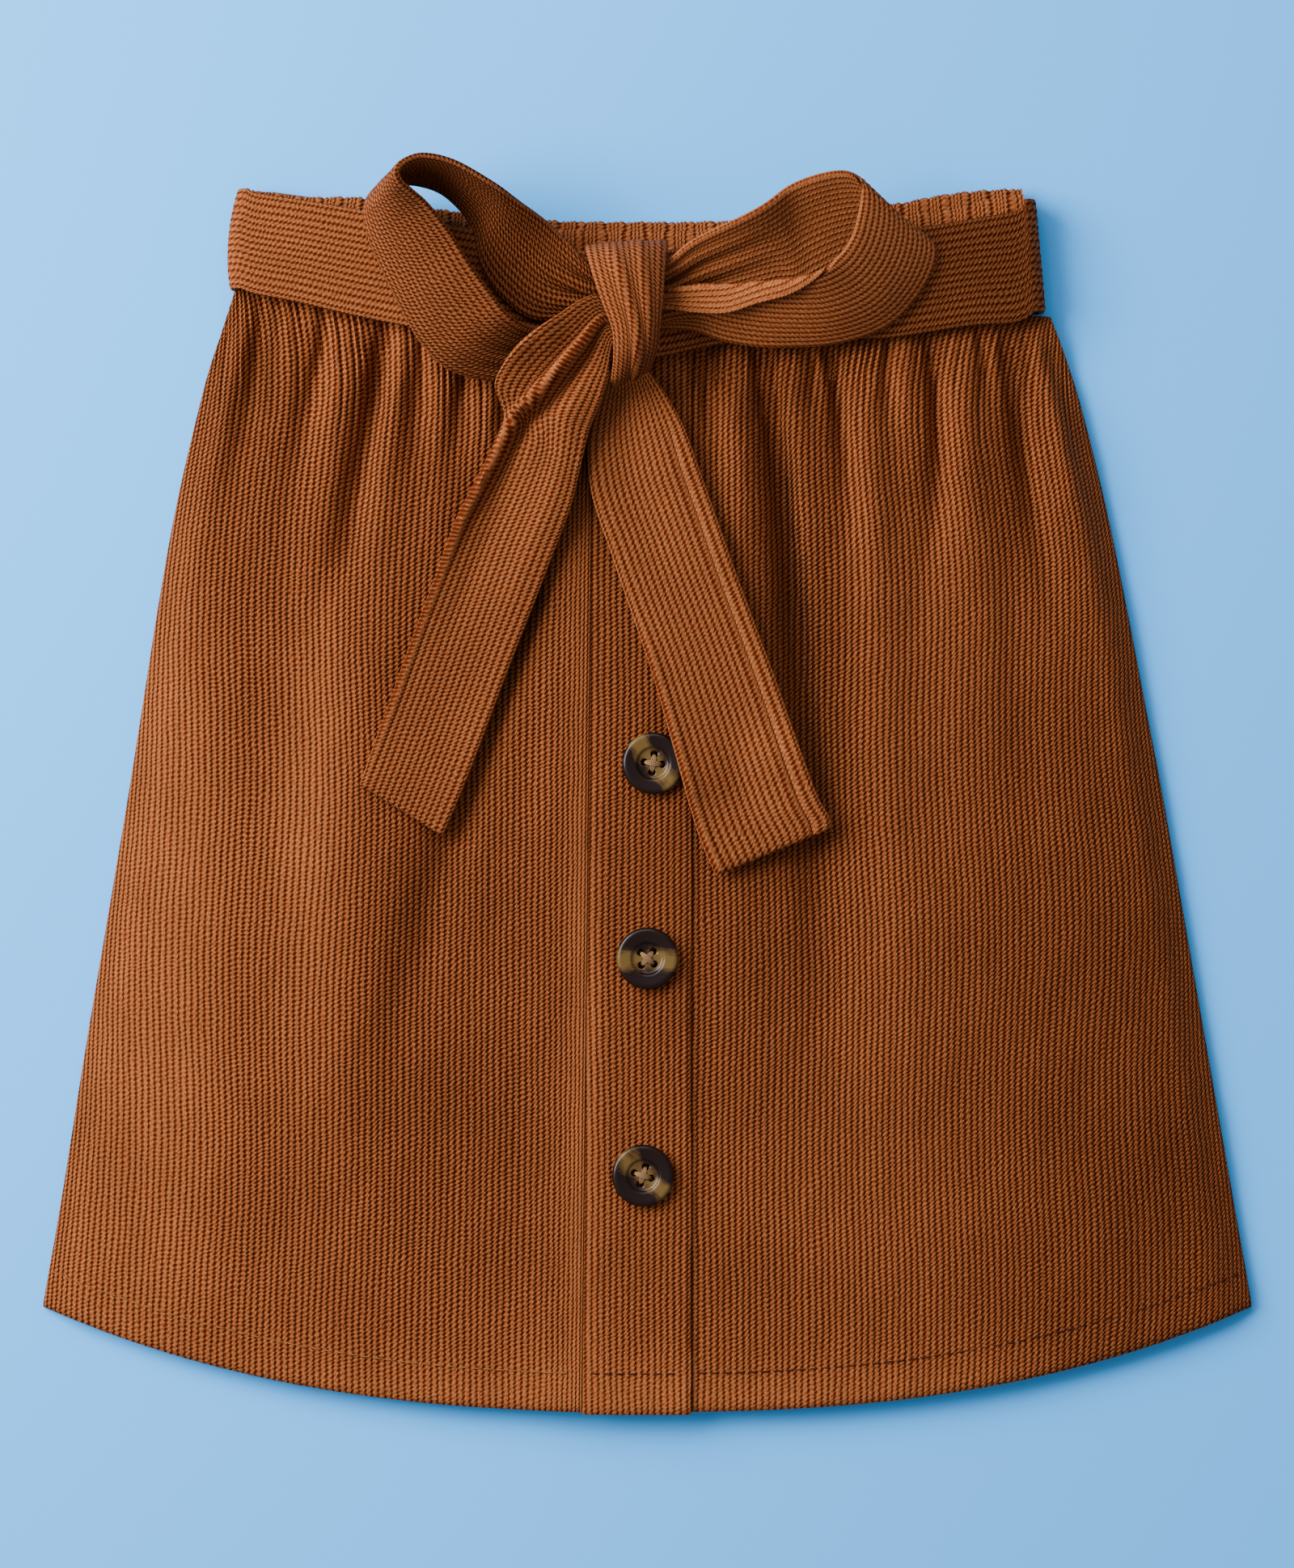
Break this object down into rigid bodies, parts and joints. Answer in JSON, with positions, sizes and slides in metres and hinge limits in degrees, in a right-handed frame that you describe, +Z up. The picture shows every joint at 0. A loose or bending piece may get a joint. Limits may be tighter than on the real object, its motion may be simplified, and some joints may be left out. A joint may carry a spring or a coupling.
{
  "type": "corduroy skirt with tie belt",
  "caption": "Small child's A-line corduroy skirt laid flat: gathered elastic waist, button placket and a self belt tied in a bow.",
  "frame": {"origin": "middle of the part's bounding box, on the surface that the skirt lies on", "axes": "+Z up from the surface, +Y from the hem to the waist, +X to the viewer's right looking down on the front"},
  "size_m": [0.2988, 0.3076, 0.0372],
  "materials": {
    "corduroy": "cut-pile cotton corduroy",
    "belt_corduroy": "cut-pile cotton corduroy, doubled and pressed",
    "horn_button": "polished horn-effect polyester resin"
  },
  "bodies": {
    "root": {"skirt_back": "corduroy", "skirt_front_left": "corduroy", "skirt_front_right": "corduroy", "placket": "corduroy", "waistband_front": "corduroy", "waistband_back": "corduroy", "belt_left": "belt_corduroy", "belt_right": "belt_corduroy", "belt_back": "belt_corduroy", "loop_left": "belt_corduroy", "loop_right": "belt_corduroy", "knot": "belt_corduroy", "tail_left": "belt_corduroy", "tail_right": "belt_corduroy", "button_1": "horn_button", "button_2": "horn_button", "button_3": "horn_button"}
  },
  "joints": []
}
